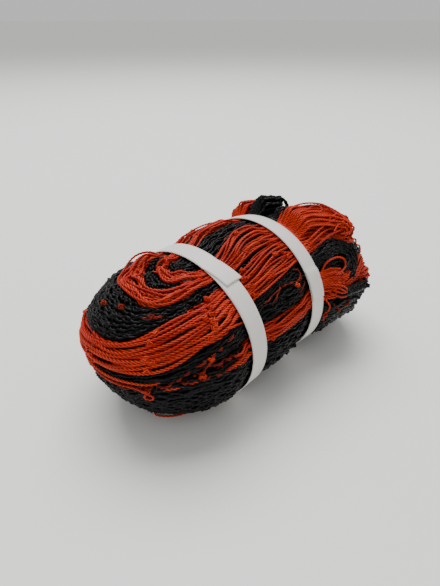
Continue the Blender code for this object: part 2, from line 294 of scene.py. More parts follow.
def lay_cords(name, lines, material, closed, spacing=CORD_SPACING, seed=0, thickness=1.0,
              hidden=None):
    """Makes one piece of cords laid along these lines."""
    draw = np.random.default_rng(seed)
    curve = bpy.data.curves.new(name, "CURVE")
    curve.dimensions = "3D"
    curve.bevel_mode = "OBJECT"
    curve.bevel_object = twine_section
    curve.twist_mode = "MINIMUM"
    lay = max(LAY_LENGTH, POINTS_PER_LAY * spacing)
    counts = []
    for index, line in enumerate(lines):
        unseen = hidden[index] if hidden else np.zeros(len(line))
        points, along, length = respaced(line, spacing, closed, unseen)
        spline = curve.splines.new("POLY")
        spline.points.add(len(points) - 1)
        spline.points.foreach_set("co", np.column_stack((points, np.ones(len(points)))).ravel())
        pace = round(length / lay) / length if closed else 1 / lay
        start = draw.uniform(0, 2 * math.pi)
        spline.points.foreach_set("tilt", start + 2 * math.pi * pace * along)
        middle = abs(points[:, 0] - (NEAR_X + FAR_X) / 2)
        slim = 1 - SLIM_BETWEEN_STRAPS * smooth_step((SLIM_HALF_LENGTH - middle) / SLIM_FADE)
        spline.points.foreach_set("radius", thickness * draw.uniform(*THICKNESS_RANGE) * slim)
        spline.use_cyclic_u = closed
        counts.append(len(points))
    laid = linked(name, curve)
    shaped = laid.evaluated_get(bpy.context.evaluated_depsgraph_get())
    mesh = bpy.data.meshes.new_from_object(shaped)
    bpy.data.objects.remove(laid)
    mesh.name = name
    shades = np.repeat(draw.uniform(0, 1, len(lines)), np.array(counts) * 2 * YARNS)
    mesh.attributes.new("shade", "FLOAT", "POINT").data.foreach_set("value", shades)
    # ridge is 1 on the yarns' crests and 0 in the grooves: the mask for the painted shade between the
    # yarns
    ridges = np.tile((1.0, 0.0), YARNS * sum(counts))
    mesh.attributes.new("ridge", "FLOAT", "POINT").data.foreach_set("value", ridges)
    if not closed:
        ends = bmesh.new()
        ends.from_mesh(mesh)
        rims = [edge for edge in ends.edges if edge.is_boundary]
        bmesh.ops.holes_fill(ends, edges=rims, sides=0)
        ends.to_mesh(mesh)
        ends.free()
    mesh.shade_smooth()
    mesh.materials.clear()
    mesh.materials.append(material)
    piece = linked(name, mesh)
    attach(piece, "root")
    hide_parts("net_hank")


# how much of a cord's colour comes from its own shade, and how much from worn patches
OWN_SHADE, PATCH_SHADE = 0.45, 0.55


def cord_material(name, groove_shade, dark, light, roughness, gloss):
    """Twine: painted shade between its yarns, each cord its own tone, with fibres and worn patches."""
    material = bpy.data.materials.new(name)
    material.use_nodes = True
    nodes, links = material.node_tree.nodes, material.node_tree.links
    shader = nodes["Principled BSDF"]
    shader.inputs["Roughness"].default_value = roughness
    shader.inputs["Specular IOR Level"].default_value = gloss
    shade = nodes.new("ShaderNodeAttribute")
    shade.attribute_name = "shade"
    ridge = nodes.new("ShaderNodeAttribute")
    ridge.attribute_name = "ridge"
    place = nodes.new("ShaderNodeTexCoord")
    patches = nodes.new("ShaderNodeTexNoise")
    patches.inputs["Scale"].default_value = 70
    patches.inputs["Detail"].default_value = 4
    fibres = nodes.new("ShaderNodeTexNoise")
    fibres.inputs["Scale"].default_value = 1800
    fibres.inputs["Detail"].default_value = 2
    mixed = nodes.new("ShaderNodeMath")
    mixed.operation = "MULTIPLY_ADD"
    mixed.inputs[1].default_value = OWN_SHADE
    worn = nodes.new("ShaderNodeMath")
    worn.operation = "MULTIPLY"
    worn.inputs[1].default_value = PATCH_SHADE
    ramp = nodes.new("ShaderNodeValToRGB")
    ramp.color_ramp.elements[0].position = 0.15
    ramp.color_ramp.elements[0].color = (*dark, 1)
    ramp.color_ramp.elements[1].position = 0.85
    ramp.color_ramp.elements[1].color = (*light, 1)
    # the grooves between the yarns take the darker groove colour: painted shade
    crest = nodes.new("ShaderNodeMapRange")
    crest.interpolation_type = "SMOOTHSTEP"
    crest.inputs["From Min"].default_value = 0.05
    crest.inputs["From Max"].default_value = 0.75
    laid = nodes.new("ShaderNodeMix")
    laid.data_type = "RGBA"
    laid.inputs["A"].default_value = (*groove_shade, 1)
    bump = nodes.new("ShaderNodeBump")
    bump.inputs["Strength"].default_value = 0.35
    bump.inputs["Distance"].default_value = 0.0002
    links.new(place.outputs["Object"], patches.inputs["Vector"])
    links.new(place.outputs["Object"], fibres.inputs["Vector"])
    links.new(patches.outputs["Fac"], worn.inputs[0])
    links.new(shade.outputs["Fac"], mixed.inputs[0])
    links.new(worn.outputs["Value"], mixed.inputs[2])
    links.new(mixed.outputs["Value"], ramp.inputs["Fac"])
    links.new(ridge.outputs["Fac"], crest.inputs["Value"])
    links.new(crest.outputs["Result"], laid.inputs["Factor"])
    links.new(ramp.outputs["Color"], laid.inputs["B"])
    links.new(laid.outputs["Result"], shader.inputs["Base Color"])
    links.new(fibres.outputs["Fac"], bump.inputs["Height"])
    links.new(bump.outputs["Normal"], shader.inputs["Normal"])
    return material


# the first colour of each is the painted shade between the yarns; the other two span each cord's own
# tone
orange_cord = cord_material(
    "orange_cord", (0.130, 0.003, 0.002), (0.40, 0.010, 0.004), (0.86, 0.068, 0.018), 0.45, 0.14)
# a darker copy of the orange cord: painted shade for the strands and knots sunk among the black bands
shaded_orange_cord = cord_material(
    "shaded_orange_cord", (0.050, 0.003, 0.002), (0.16, 0.012, 0.006), (0.34, 0.040, 0.016), 0.55, 0.10)
black_cord = cord_material(
    "black_cord", (0.0006, 0.0006, 0.0007), (0.0015, 0.0015, 0.0018), (0.005, 0.005, 0.006),
    0.34, 0.16)
CORDS = {"orange": (orange_cord, "net_orange"), "black": (black_cord, "net_black")}

# ---------------------------------------------------------------------------------------------
# The bands: the striped net gathered lengthways, so that each stripe of its meshes lies as a
# band of near-parallel cords. A band is as wide as the hank shows it at each station, and where
# it narrows some of its cords dip under the others.
# ---------------------------------------------------------------------------------------------
FORM_RADIUS = 0.068
LINE_STEP = 0.0015
CORD_PITCH = 0.0026
MESH_BAR = 0.050
KNOT_SCATTER = 0.004
PINCH_HALF_LENGTH = 0.010
DIP_DEPTH, DIP_FADE = 0.0036, 2
EDGE_SMOOTHING, NARROWEST_DEGREES = 0.007, 0.5
# a cord's sway to the sides, its sway in and out, and its shortest and longest wave
CORD_SWAY, PAIR_SWAY = (0.0011, 0.0006, (0.05, 0.15)), (0.0006, 0.0004, (0.02, 0.06))
CORD_MARGIN, PAIR_MARGIN = 0.5, 1.3
PAIR_TURN_LENGTH, PAIR_SINK = (0.009, 0.016), 0.4
UNDER_SWAY = 0.15
# two steps that spread the knots unevenly, the same for both cords of a knot
SCATTER_STEP, SCATTER_ROW = 7.1, 3.3
KNOTTED_RADIUS = CORD_RADIUS * 0.9
REACH_RANGE = (-0.004, 0.002)
line_distance = np.arange(0, LAP, LINE_STEP)


def smooth_round(values, reach):
    """Smooths values along the lap, which closes on itself."""
    offsets = np.minimum(line_distance, LAP - line_distance)
    kernel = np.exp(-0.5 * (offsets / reach) ** 2)
    kernel /= kernel.sum()
    return np.fft.ifft(np.fft.fft(values) * np.fft.fft(kernel)).real


def edges_round(rows):
    """A band's lower and upper edge, in degrees, all along the lap."""
    rows = np.array(rows)
    at = np.interp(rows[:, 0], STATIONS, STATION_DISTANCE)
    return [smooth_round(np.interp(line_distance, at, rows[:, column], period=LAP), EDGE_SMOOTHING)
            for column in (1, 2)]


def wander(draw, amplitude, shortest, longest, waves=5):
    """A gentle irregular path that closes on itself round the lap."""
    total = np.zeros_like(line_distance)
    for _ in range(waves):
        cycles = round(LAP / draw.uniform(shortest, longest))
        total += np.sin(2 * math.pi * (cycles * line_distance / LAP + draw.random()))
    return total * amplitude / math.sqrt(waves / 2)


def dip_order(count):
    """The order in which a band's cords dip: neighbours far apart in it."""
    bits = max(1, (count - 1).bit_length())
    reversed_bits = [int(format(index, f"0{bits}b")[::-1], 2) for index in range(2 ** bits)]
    order = np.empty(count, int)
    order[np.argsort([reversed_bits[index] for index in range(count)])] = np.arange(count)
    return order


def band_lines(rows, count, top_lift, crown, reach, curl, knot_start, draw, depth=0.0):
    """The lines of a band's cords, and where its neighbouring cords are knotted together."""
    low, high = edges_round(rows)
    middle = (low + high) / 2
    width = np.radians(np.maximum(high - low, NARROWEST_DEGREES)) * FORM_RADIUS
    on_top = width / CORD_PITCH
    order = dip_order(count)
    rounds = round(LAP / MESH_BAR)
    lines, knots = [], []
    phase, cycles = 0.0, 1
    for index in range(count):
        side = 2 * (index + 0.5) / count - 1
        drift, sway, waves = PAIR_SWAY if curl else CORD_SWAY
        drift += depth * UNDER_SWAY
        margin = CORD_PITCH * (PAIR_MARGIN if curl else CORD_MARGIN)
        across = side * (width - margin) / 2 + wander(draw, drift, *waves)
        own_lift = wander(draw, sway, *waves)
        if curl:
            # black cords lie in twisted pairs, the two half a turn apart
            if index % 2 == 0:
                phase, cycles = draw.random(), round(LAP / draw.uniform(*PAIR_TURN_LENGTH))
            turn = 2 * math.pi * (cycles * line_distance / LAP + phase + 0.5 * (index % 2))
            across = across + curl * np.cos(turn)
            own_lift = own_lift + curl * np.sin(turn) - curl * PAIR_SINK
        for row in range(rounds):
            partner = index + 1 if (index + row) % 2 == 0 else index - 1
            if not 0 <= partner < count:
                continue
            shift = math.sin(SCATTER_STEP * (min(index, partner) + SCATTER_ROW * row)) * KNOT_SCATTER
            place = (knot_start + row * LAP / rounds + shift) % LAP
            gap = (partner - index) * width / count
            apart = (line_distance - place + LAP / 2) % LAP - LAP / 2
            pinch = np.exp(-(apart / PINCH_HALF_LENGTH) ** 2)
            drawn = np.maximum(abs(gap) / 2 - KNOTTED_RADIUS, 0)
            across += pinch * np.sign(partner - index) * drawn
            if partner > index:
                knots.append((place, index, partner))
        dip = 1 - smooth_step((on_top - order[index]) / DIP_FADE)
        lift = top_lift - CORD_RADIUS - crown * side * side - dip * DIP_DEPTH - depth + own_lift
        elevation = middle + np.degrees(across / FORM_RADIUS)
        lines.append((elevation, lift, reach + draw.uniform(*REACH_RANGE), dip))
    return lines, knots


# name, colour, cords across, top lift, crown, right reach, curl, place of the first knots, and
# rows of station, lower edge and upper edge
BANDS = (
    ("core_black", "black", 9, 0.0015, 0.0010, 0.038, 0.0006, 0.01, (
        (0, 86, 90), (.5, 83, 91), (1, 80, 92), (2, 79, 92), (2.5, 82, 92), (3, 88, 93), (4, 84, 92),
        (5, 80, 90), (6, 78, 88), (7, 78, 88), (8, 76, 90), (9, 76, 90), (10, 81, 91), (11, 86, 92))),
    ("inner_orange", "orange", 6, 0.0040, 0.0010, 0.042, 0.0, 0.03, (
        (0, 78, 86), (.25, 75, 83), (.5, 71, 81), (1, 70, 79), (2, 70, 79), (2.5, 74, 82),
        (3, 82, 92), (3.5, 82, 91), (4, 78, 86), (4.5, 74, 82), (5, 72, 80), (6, 72, 80), (7, 70, 79),
        (8, 68, 76), (9, 66, 76), (10, 72, 81), (11, 80, 87))),
    ("inner_black", "black", 6, 0.0010, 0.0010, 0.040, 0.0007, 0.02, (
        (0, 70, 78), (.25, 64, 75), (.5, 63, 71), (.75, 61, 67), (1, 66, 68), (3, 66, 67),
        (5, 66, 67), (6, 68, 73), (7, 66, 70), (9, 62, 66), (10, 66, 71), (11, 69, 80))),
    ("ring_orange", "orange", 8, 0.0036, 0.0012, 0.046, 0.0, 0.02, (
        (0, 56, 70), (.25, 53, 65), (.5, 54, 65), (.75, 60, 70), (1, 64, 72), (2, 65, 73),
        (2.5, 62, 74), (3, 66, 82), (3.5, 66, 82), (4, 66, 78), (4.5, 65, 76), (5, 62, 74), (6, 58, 72),
        (7, 55, 68), (8, 53, 66), (9, 52, 64), (10, 52, 66), (11, 54, 68))),
    ("wide_black", "black", 18, 0.0008, 0.0012, 0.042, 0.0008, 0.015, (
        (0, 23, 57), (.25, 26, 53), (.5, 39, 57), (.75, 51, 63), (1, 58, 66), (2, 58, 66), (3, 58, 62),
        (4, 50, 56), (4.5, 49, 55), (5, 46, 54), (6, 40, 56), (7, 37, 54), (8, 35, 53), (9, 32, 52),
        (10, 27, 52), (11, 18, 55), (11.5, 17, 56))),
    ("main_orange", "orange", 12, 0.0032, 0.0012, 0.046, 0.0, 0.057, (
        (0, 1, 23), (.25, 6, 27), (.5, 13, 40), (.75, 24, 52), (1, 33, 58), (2, 37, 59), (2.5, 40, 62),
        (3, 42, 66), (4, 43, 66), (4.5, 50, 65), (5, 48, 62), (6, 34, 52), (7, 18, 36), (8, 12, 35),
        (9, 8, 30), (10, 4, 27), (11, -4, 18), (11.5, -3, 17))),
    ("middle_black", "black", 12, 0.0015, 0.0014, 0.046, 0.0005, 0.03, (
        (0, -8, 2), (.25, -4, 7), (.5, 2, 14), (.75, 12, 25), (1, 18, 34), (2, 20, 38), (2.5, 20, 41),
        (3, 18, 43), (3.6, 17, 43), (4, 23, 44), (4.75, 24, 45), (5, 16, 48), (5.5, 8, 44), (6, 2, 36),
        (7, -2, 19), (8, -6, 12), (9, -8, 9), (10, -12, 5), (11, -14, -3), (11.5, -12, -2))),
    ("short_orange", "orange", 8, 0.0026, 0.0014, 0.047, 0.0, 0.06, (
        (0, -8, -7), (.75, 2, 4), (1, 6, 12), (2, 7, 19), (2.5, 7, 20), (3, 5, 19), (3.6, 4, 18),
        (4, 4, 24), (4.5, 6, 26), (5, 4, 24), (5.5, 2, 16), (6, -4, 8), (7, -10, -2), (8, -14, -5),
        (9, -16, -8), (10, -15, -12), (11, -15, -14), (11.5, -13, -12))),
    ("lower_black", "black", 16, 0.0016, 0.0018, 0.047, 0.0008, 0.04, (
        (0, -31, -7), (.5, -26, 4), (1, -19, 17), (2, -17, 14), (3, -15, 7), (4, -13, 6), (5, -14, 5),
        (6, -20, 0), (7, -30, -9), (8, -34, -13), (9, -34, -15), (10, -34, -14), (11, -33, -14),
        (11.5, -32, -12))),
    ("bottom_black", "black", 13, 0.0012, 0.0018, 0.047, 0.0008, 0.05, (
        (0, -62, -29), (1, -52, -17), (2, -50, -15), (3, -50, -13), (4, -50, -12), (5, -50, -13),
        (6, -52, -20), (7, -56, -28), (9, -58, -32), (11, -60, -31))),
)
BAND_THICKNESS = 0.90
# cords are laid with fewer points where they dip deeper than this, or lie lower than this
HIDDEN_DIP, HIDDEN_HEIGHT = 0.8, 0.010
KNOT_SIZE, KNOT_POINTS, KNOT_SHARE = 0.00068, 26, 0.97
KNOT_SPACING, KNOT_THICKNESS = 0.0013, 0.90
# no knots are tied on deeper dips, lower down or nearer to a strap than this
KNOT_DIP, KNOT_HEIGHT, KNOT_CLEARANCE = 0.6, 0.004, 0.0125
# the layer under a band: its share of the band's cords, its depth and its spacing of points
UNDER_SHARE, UNDER_SPACING = 0.7, 0.0032
ORANGE_UNDER_DEPTH, BLACK_UNDER_DEPTH = 0.0028, 0.0022


def knot_line(centre, along, draw):
    """A small tight knot: one cord passed three times over and under itself."""
    along = along / np.linalg.norm(along)
    side = np.cross(along, draw.normal(size=3))
    side /= np.linalg.norm(side)
    up = np.cross(along, side)
    turn = np.linspace(0, 2 * math.pi * KNOT_SHARE, KNOT_POINTS) + draw.random() * 6
    loops = ((np.sin(turn) + 2 * np.sin(2 * turn), along * 1.25),
             (np.cos(turn) - 2 * np.cos(2 * turn), side), (-1.5 * np.sin(3 * turn), up))
    return centre + KNOT_SIZE * sum(size[:, None] * axis for size, axis in loops)


def place_band(lines):
    """Points of a band's lines on the winding."""
    return [on_winding(line_distance, elevation, lift, own) for elevation, lift, own, _ in lines]


for seed, (name, colour, count, top_lift, crown, reach, curl, knot_start, rows) in enumerate(BANDS):
    draw = np.random.default_rng(100 + seed)
    material, slot = CORDS[colour]
    lines, knots = band_lines(rows, count, top_lift, crown, reach, curl, knot_start, draw)
    placed = place_band(lines)
    hidden = [np.maximum(dip > HIDDEN_DIP, line[:, 2] < HIDDEN_HEIGHT).astype(float)
              for line, (*_, dip) in zip(placed, lines)]
    lay_cords(name + "_cords", placed, material, True, seed=seed, hidden=hidden,
              thickness=BAND_THICKNESS)
    wraps = []
    for place, first, second in knots:
        index = int(place / LINE_STEP) % len(line_distance)
        if max(lines[first][3][index], lines[second][3][index]) > KNOT_DIP:
            continue
        centre = (placed[first][index] + placed[second][index]) / 2
        along = placed[first][(index + 2) % len(line_distance)] - placed[first][index - 2]
        strap_distance = min(abs(centre[0] - NEAR_X), abs(centre[0] - FAR_X))
        if centre[2] < KNOT_HEIGHT or strap_distance < KNOT_CLEARANCE:
            continue
        wraps.append(knot_line(centre, along, draw))
    if wraps:
        lay_cords(name + "_knots", wraps, material, False, spacing=KNOT_SPACING, seed=seed,
                  thickness=KNOT_THICKNESS)
    under, _ = band_lines(rows, max(3, round(count * UNDER_SHARE)), top_lift, crown, reach, 0.0,
                          knot_start, draw, BLACK_UNDER_DEPTH if curl else ORANGE_UNDER_DEPTH)
    lay_cords(name + "_under", place_band(under), material, True, spacing=UNDER_SPACING,
              seed=50 + seed)

# ---------------------------------------------------------------------------------------------
# The bights: beyond the far strap the folds of the net end in loose loops, which stand proud of
# the turn in soft lobes. Each loop runs out along the top of its lobe, turns down and comes back.
# ---------------------------------------------------------------------------------------------
FOLD_SAMPLES = 60
LOOP_THICKNESS = {"orange": 0.72, "black": 1.0}
# name, colour, loops, half width, depth, rise length, top lift, and the stations and elevations
# along its middle
LOBES = (
    ("back_bight_orange", "orange", 13, 0.013, 0.009, 0.022, 0.0165, (
        (4.00, 133), (4.3, 129), (4.55, 123), (4.78, 118))),
    ("back_bight_black", "black", 12, 0.0075, 0.009, 0.020, 0.0170, (
        (4.04, 111), (4.25, 108), (4.45, 104), (4.64, 102))),
    ("top_bight_orange", "orange", 17, 0.017, 0.007, 0.016, 0.0150, (
        (4.10, 70), (4.45, 76), (4.85, 75), (5.12, 68), (5.20, 58))),
    ("top_knob_black", "black", 8, 0.0045, 0.006, 0.014, 0.0125, (
        (4.16, 89), (4.40, 88), (4.60, 87))),
    ("right_bight_black", "black", 14, 0.008, 0.007, 0.012, 0.0055, (
        (4.10, 36), (4.28, 42), (4.50, 47), (4.74, 47), (4.90, 40), (4.86, 31), (4.72, 24))),
    ("end_bight_orange", "orange", 12, 0.008, 0.006, 0.012, 0.0045, (
        (4.50, 15), (4.75, 20), (4.95, 26), (5.10, 32))),
    ("wound_orange", "orange", 11, 0.009, 0.006, 0.012, 0.0055, (
        (4.12, 22), (4.28, 24), (4.42, 23), (4.56, 21))),
    ("end_rope_black", "black", 8, 0.0046, 0.008, 0.012, 0.0085, (
        (4.40, 9), (4.62, 10), (4.86, 9.5), (5.05, 8))),
    ("low_bight_black", "black", 10, 0.010, 0.007, 0.012, 0.0035, (
        (4.15, -8), (4.5, -6), (4.85, -10), (5.10, -14))),
)
FOLD_CURL, CURL_PACE = {"orange": 0.0, "black": 0.0007}, (0.48, 0.66)
# a lobe starts at this share of its width and fans out by the other
FAN_START, FAN_GAIN, FAN_PACE = 0.72, 0.28, 1.8
END_TURN = np.radians(np.arange(75, -76, -15.0))[:, None]
END_BULGE, LOBE_CROWN, RISE_START = 0.5, 0.30, 0.003
SWELL, SWELL_START, SWELL_PACE = 0.0005, 20, (0.2, 0.5)
# how far loops stray from their even places: aside, up or down, and on their way back
SIDE_STRAY, LIFT_STRAY, BACK_STRAY = 0.6, 0.0014, 0.6
OUTER_DEPTH, SHORTENING = (0.8, 1.15), (0.0, 0.24)
# inner loops: share of the lobe's width, how much lower, share of its depth, how much shorter
INNER_WIDTH, INNER_DROP, INNER_DEPTH, INNER_SHORTER = 0.85, 0.0026, (0.5, 0.8), 0.08


def surface_path(points, samples):
    """Distance round the lap, elevation and any lift along a smooth path through these points."""
    points = np.array(points, float)
    points[:, 0] = np.interp(points[:, 0] % STATION_COUNT, STATIONS, STATION_DISTANCE) + (
        np.floor(points[:, 0] / STATION_COUNT) * LAP)
    at = np.linspace(0, len(points) - 1, samples)
    return np.column_stack([through(points[:, column], at) for column in range(points.shape[1])])


def fold_line(path, side, half_width, lift, depth, rise_length, end, drift, curl, phase, draw):
    """One loop of a lobe: out along its top, down round its end and back underneath."""
    kept = surface_path(path, FOLD_SAMPLES)[:round(FOLD_SAMPLES * end)]
    kept[:, 1] = np.radians(kept[:, 1]) * FORM_RADIUS
    ahead = np.gradient(kept, axis=0)
    ahead /= np.linalg.norm(ahead, axis=1)[:, None]
    aside = np.column_stack((-ahead[:, 1], ahead[:, 0]))
    share = np.linspace(0, 1, len(kept))
    fan = FAN_START + FAN_GAIN * smooth_step(share * FAN_PACE)
    spread = (half_width * fan)[:, None] * aside
    out = kept + side * spread
    back = kept + (side + drift * share[:, None]) * spread
    sweep = (1 - np.sin(END_TURN)) / 2
    bulge = ahead[-1] * depth * END_BULGE * np.cos(END_TURN)
    rounded = (1 - sweep) * out[-1] + sweep * back[-1] + bulge
    line = np.vstack((out, rounded, back[::-1]))
    drop = np.concatenate((np.zeros(len(out)), sweep[:, 0], np.ones(len(back))))
    at_end = np.full(len(END_TURN), kept[-1, 0])
    away = np.concatenate((kept[:, 0], at_end, kept[::-1, 0])) - kept[0, 0]
    rise = smooth_step((abs(away) + RISE_START) / rise_length)
    shape = lift * (1 - LOBE_CROWN * side * side) - drop * depth - CORD_RADIUS
    shape += SWELL * np.sin(SWELL_START + np.arange(len(line)) * draw.uniform(*SWELL_PACE))
    twist = np.arange(len(line)) * draw.uniform(*CURL_PACE) + draw.random() * 6 + phase
    line[:, 1] += curl * np.cos(twist) * rise
    lifts = PRESSED_LIFT + (shape + curl * np.sin(twist) - PRESSED_LIFT) * rise
    return on_winding(line[:, 0], np.degrees(line[:, 1] / FORM_RADIUS), lifts)


for seed, (name, colour, loops, half_width, depth, rise_length, lift, path) in enumerate(LOBES):
    material, slot = CORDS[colour]
    placed = []
    for index in range(loops * 2):
        # black loops lie in twisted pairs, which share one path
        paired = colour == "black"
        number, phase = (index // 2 * 2, math.pi * (index % 2)) if paired else (index, 0.0)
        draw = np.random.default_rng((300 + seed, number))
        inner = number >= loops
        side = 2 * (number % loops + 0.5) / loops - 1 + draw.uniform(-SIDE_STRAY, SIDE_STRAY) / loops
        placed.append(fold_line(
            path, side * (INNER_WIDTH if inner else 1), half_width,
            lift + draw.uniform(-LIFT_STRAY, LIFT_STRAY) - (INNER_DROP if inner else 0),
            depth * draw.uniform(*(INNER_DEPTH if inner else OUTER_DEPTH)), rise_length,
            1 - draw.uniform(*SHORTENING) - (INNER_SHORTER if inner else 0),
            draw.uniform(-BACK_STRAY, BACK_STRAY), FOLD_CURL[colour], phase, draw))
    lay_cords(name + "_loops", placed, material, False, seed=300 + seed,
              thickness=LOOP_THICKNESS[colour])

# ---------------------------------------------------------------------------------------------
# Loose strands: single orange cords that stray over the black bands, laced through them or
# standing off in small loops, with the knots that the photograph shows apart from the others.
# ---------------------------------------------------------------------------------------------
LACE_LENGTH = 0.0098
# uneven lacing, and how much deeper than its stated depth a strand goes
LACE_SWAY, LACE_SWAY_PACE, LACE_OVERSHOOT = 0.25, 2.1, 1.4
SAMPLES_PER_POINT = 12
STRAY_THICKNESS, LACED_THICKNESS, LONE_KNOT_THICKNESS = 0.68, 0.78, 0.70
# how deep the strand is laced, in metres (0 for a strand on top), then station, elevation and
# lift in millimetres along it
STRAYS = (
    (0.0, ((-0.08, 3, 1.0), (0.05, 0.5, 2.0), (0.22, 1, 2.2), (0.36, 2.5, 2.2), (0.46, 3.5, 2.0),
           (0.52, 4, -2.0))),
    (0.0, ((-0.05, -1, 1.0), (0.12, -2.5, 2.0), (0.28, -2, 2.2), (0.38, -1, 2.2), (0.44, -3, 2.4),
           (0.48, -6, 2.6), (0.465, -9.5, 2.2), (0.43, -8, 2.4), (0.445, -4.5, 2.0))),
    (0.004, ((0.26, -5, 1.5), (0.33, -4.5, 1.8), (0.40, -3.5, 2.0), (0.47, -4, 2.0))),
    (0.004, ((0.43, -1, 2), (0.52, 1, 2), (0.59, 5, 2), (0.66, 11, 2), (0.74, 16, 2), (0.82, 20, 2),
             (0.92, 25, 2), (1.04, 29, 2))),
    (0.004, ((0.62, 4, 1.5), (0.74, 5, 2), (0.84, 6, 2), (0.98, 6, 1))),
    (0.004, ((0.70, 8, 1.5), (0.78, 12, 2), (0.90, 14, 2), (1.0, 14, 1))),
    (0.003, ((0.73, 6, 2), (0.76, 11, 2), (0.79, 16, 2), (0.83, 21, 2))),
    (0.003, ((0.34, 44, 0), (0.40, 45, 0.9), (0.46, 46, 0.9), (0.54, 48, 0))),
    (0.0, ((0.92, 36, 3), (1.1, 38.5, 3), (1.3, 40, 2), (1.6, 41, 0))),
    (0.0, ((0.95, 34, 2.5), (1.15, 33, 3), (1.35, 32, 2), (1.65, 31, 0))),
    (0.0, ((0.06, 57, 1), (-0.10, 57.5, 4), (-0.27, 58, 6.5), (-0.46, 59, 9), (-0.66, 60, 10.5),
           (-0.80, 63, 11), (-0.90, 68, 9), (-0.96, 72, 6), (-1.1, 74, 0))),
    (0.0, ((0.05, 59, 1.5), (-0.10, 61, 4.5), (-0.28, 62, 7), (-0.48, 63, 8.5), (-0.70, 65, 9),
           (-0.86, 69, 8), (-0.96, 75, 2))),
    (0.0, ((0.95, 14, 1), (1.1, 15, 2.2), (1.24, 16, 2.0), (1.5, 17, 0))),
    (0.0, ((1.0, 6, 0.5), (1.2, 6.5, 2.2), (1.4, 7, 2.0), (1.68, 7, 1))),
    (0.002, ((2.38, 33, 1.0), (2.7, 34.5, 1.6), (3.0, 36, 1.6), (3.34, 34, 1.4), (3.6, 32, 1.4),
             (3.8, 33, 1))),
    (0.002, ((3.55, 41, 0), (3.72, 38, 1.6), (3.70, 34, 2.0), (3.42, 32, 2.0), (3.38, 28, 0))),
    (0.001, ((3.45, 24, 0), (3.56, 25.5, 1.8), (3.72, 27, 1.8), (3.80, 30, 0))),
    (0.001, ((2.60, 29, 0), (2.76, 33, 1.8), (2.90, 35, 1.8), (2.98, 38, 0))),
    (0.0, ((4.10, 49, 1), (4.3, 54, 4), (4.65, 60, 7), (5.1, 62, 9), (5.3, 60, 6))),
    (0.0, ((4.10, 46, 1), (4.3, 50, 5.5), (4.6, 55, 8), (4.9, 57, 9), (5.15, 60, 7))),
    (0.0, ((4.10, 52, 1), (4.35, 58, 5), (4.7, 64, 10), (5.0, 66, 13))),
    (0.0, ((4.14, 82, 1), (4.34, 84, 9), (4.6, 86, 13.5), (4.85, 84, 16.2), (5.06, 77, 16),
           (5.20, 68, 14), (5.24, 59, 11), (5.18, 52, 7))),
    (0.0, ((4.14, 79, 1), (4.36, 81, 9), (4.62, 83, 13.5), (4.90, 80, 16), (5.10, 72, 15),
           (5.22, 63, 12.5), (5.20, 55, 9))),
    (0.0, ((4.14, 72, 1), (4.4, 76, 12), (4.75, 77, 15.5), (5.02, 71, 14.5), (5.18, 62, 12),
           (5.20, 54, 8.5), (5.1, 50, 6))),
    (0.0, ((5.04, 56, 9), (5.12, 52, 8), (5.07, 49, 6), (5.15, 46, 6), (5.10, 43, 5),
           (5.16, 40, 5), (5.10, 35, 4))),
    (0.0, ((4.58, 77, 10), (4.74, 80, 14.5), (4.88, 79, 16), (4.86, 75, 15.6), (4.72, 73, 12))),
    (0.0, ((4.74, 72, 10), (4.92, 75, 13.8), (5.05, 74, 15), (5.03, 69, 14.6), (4.86, 68, 11))),
    (0.0, ((4.80, 65, 10), (4.98, 69, 13), (5.11, 67, 14.4), (5.08, 62, 13.8), (4.88, 62, 10.5))),
    (0.0, ((4.76, 57, 9), (4.94, 61, 11.8), (5.07, 58, 12.8), (5.03, 53, 12), (4.86, 54, 9))),
    (0.0, ((4.20, 28, 3), (4.25, 33, 6), (4.32, 37, 8), (4.48, 38, 9), (4.59, 35, 9), (4.57, 30, 8),
           (4.46, 27, 6.5), (4.35, 26, 5))),
    (0.0, ((4.12, 17, 1), (4.30, 16.5, 6.5), (4.42, 13.5, 7), (4.54, 8.5, 7), (4.44, 7.5, 7),
           (4.34, 9, 6), (4.24, 13, 4))),
    (0.0, ((4.12, 19, 1), (4.32, 18.5, 7), (4.46, 15.5, 7.5), (4.52, 11.5, 7), (4.42, 11, 6.5),
           (4.30, 14, 4))),
    (0.0, ((4.16, 9, 1), (4.22, 5, 4), (4.26, 0, 5), (4.25, -5, 4.5), (4.22, -9, 3), (4.26, -16, 2))),
    (0.003, ((4.34, 0, 2), (4.40, -3, 5), (4.48, -8, 5), (4.56, -13, 3))),
    (0.003, ((4.52, -9, 2), (4.60, -4, 5), (4.68, -1.5, 5), (4.78, -1, 2))),
)
# station, elevation and lift in millimetres of each knot that lies apart, lit and in painted shade
STRAY_KNOTS = (
    (0.45, -2, 1.4), (0.74, 8, 1.2), (0.80, 18, 1.2),
    (0.92, 55, 2.4), (0.90, 50, 2.4), (0.89, 45, 2.6), (0.88, 40, 2.4), (0.87, 36, 2.0),
    (2.42, 60, 2.2), (2.40, 54, 2.4), (2.38, 48, 2.4), (2.36, 41, 2.2), (4.2, 9, 2.4), (4.24, -9, 2.4),
    (3.40, 31, 1.4), (3.28, 57, 2.0), (3.62, 60, 2.0),
)
SHADED_KNOTS = ((-0.06, 43, 0.6), (0.14, 47, 0.6), (0.42, 46, 0.2), (3.40, 31, 1.0), (4.24, -9, 2.4))
# how many stations ahead a lone knot looks for the way its cord runs
LONE_KNOT_STEP = 0.02
